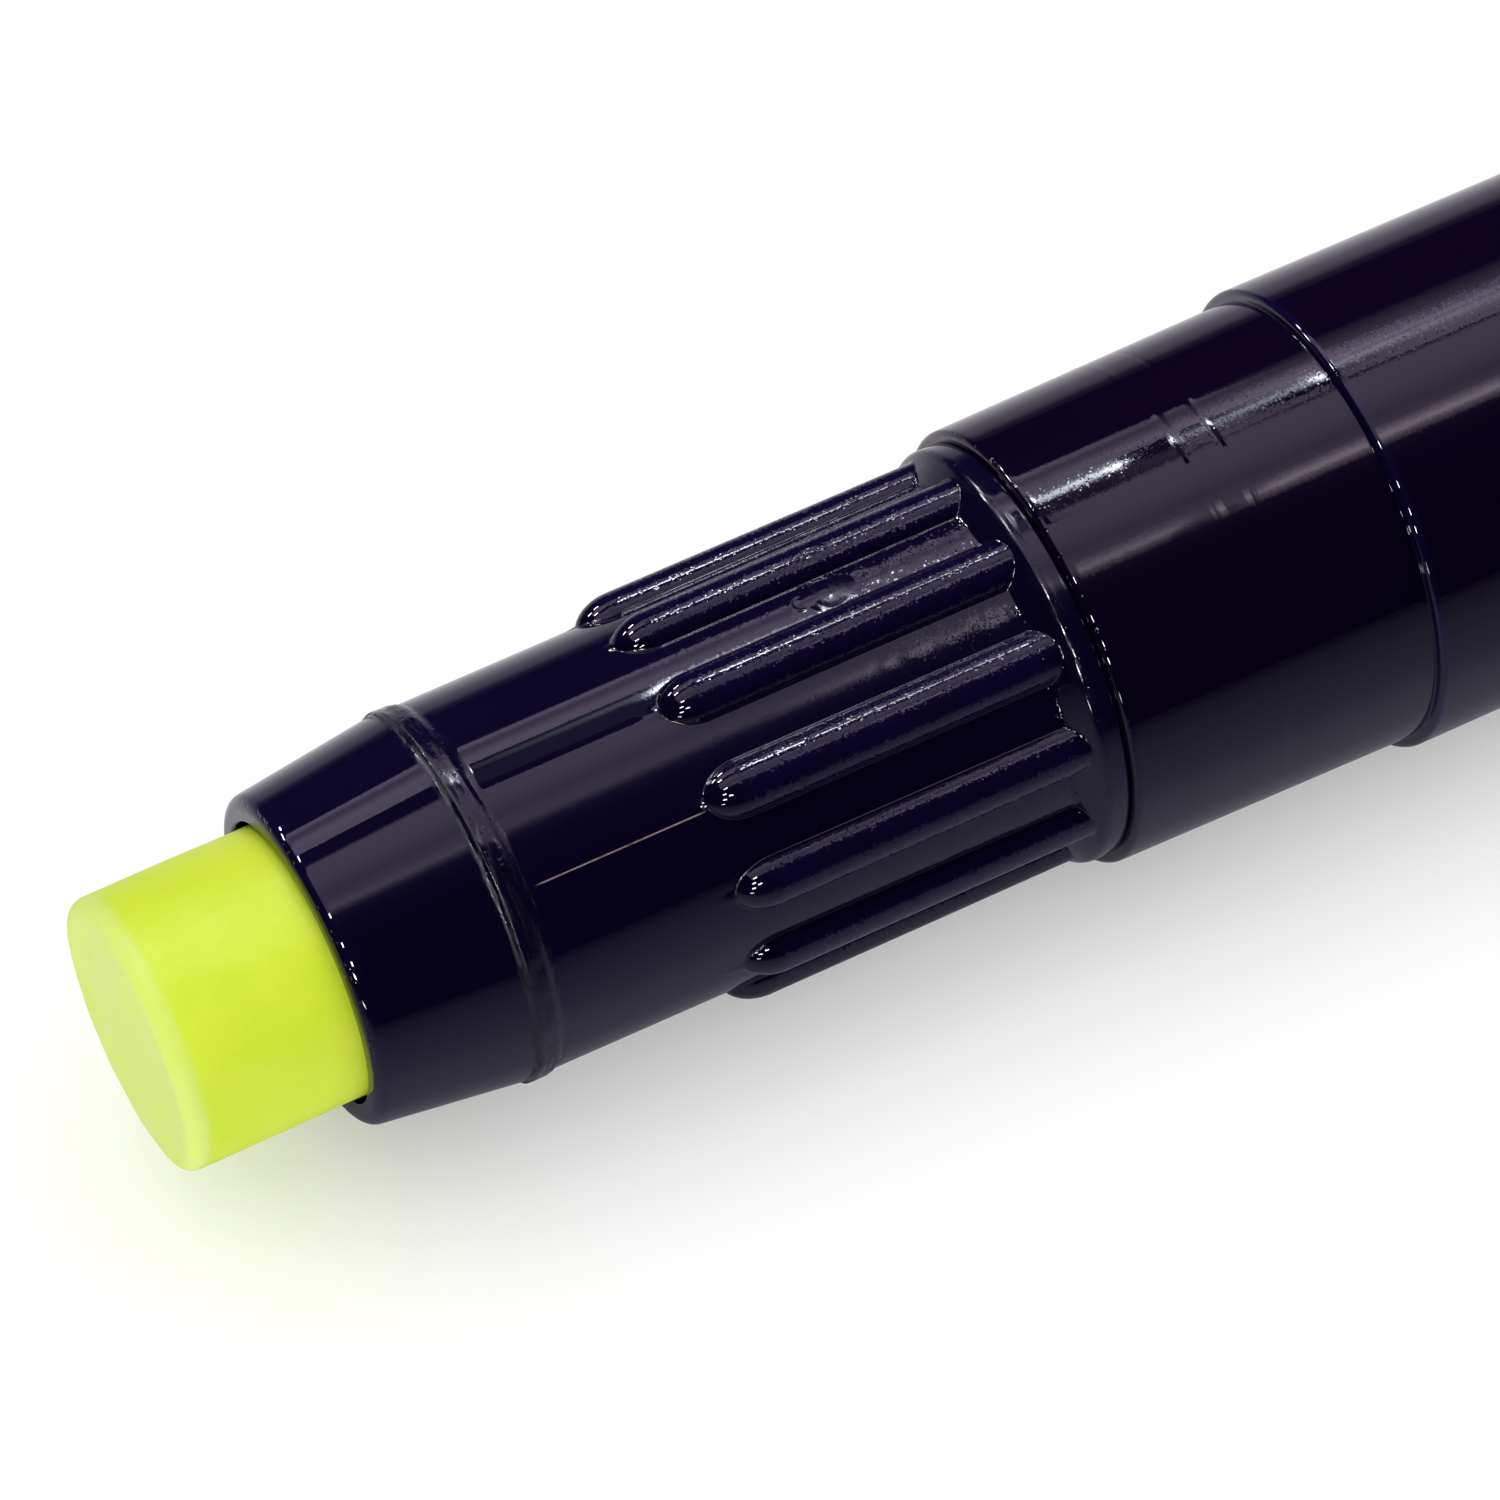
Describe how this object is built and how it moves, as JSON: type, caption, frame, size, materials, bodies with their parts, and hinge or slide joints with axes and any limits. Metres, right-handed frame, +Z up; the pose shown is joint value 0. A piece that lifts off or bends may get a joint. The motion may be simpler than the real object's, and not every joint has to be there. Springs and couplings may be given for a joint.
{
  "type": "fabric marker",
  "caption": "Twist-up water-soluble fabric marker: a solid marking stick is fed out of a ribbed plastic nose by turning the ribbed knob at the rear of a round barrel.",
  "frame": {"origin": "on the resting plane below the middle of the marker", "axes": "+X along the marker from the tip to the knob, +Z up"},
  "size_m": [0.1324, 0.0122, 0.0122],
  "materials": {
    "stick": "satin wax",
    "casing": "gloss moulded",
    "feed": "natural moulded",
    "ring": "matt"
  },
  "bodies": {
    "casing": {"nose_cone": "casing", "barrel": "casing", "guide_tube": "feed", "rear_bush": "feed"},
    "knob": {"twist_knob": "casing", "feed_screw": "feed", "drag_ring": "ring", "end_plug": "casing"},
    "carriage": {"marker_core": "stick", "core_cup": "feed", "push_tube": "feed"}
  },
  "joints": [
    {"name": "knob_turn", "type": "hinge", "parent": "casing", "child": "knob", "pos_m": [0.052, 0, 0.0061], "axis": [-1, 0, 0], "range_deg": [-306.5, 1116.5]},
    {"name": "core_feed", "type": "slide", "parent": "casing", "child": "carriage", "axis": [-1, 0, 0], "range_m": [-0.0051, 0.0186]}
  ],
  "couplings": [
    {"joint": "knob_turn", "follows": "core_feed", "rad_per_m": 1047.2}
  ]
}
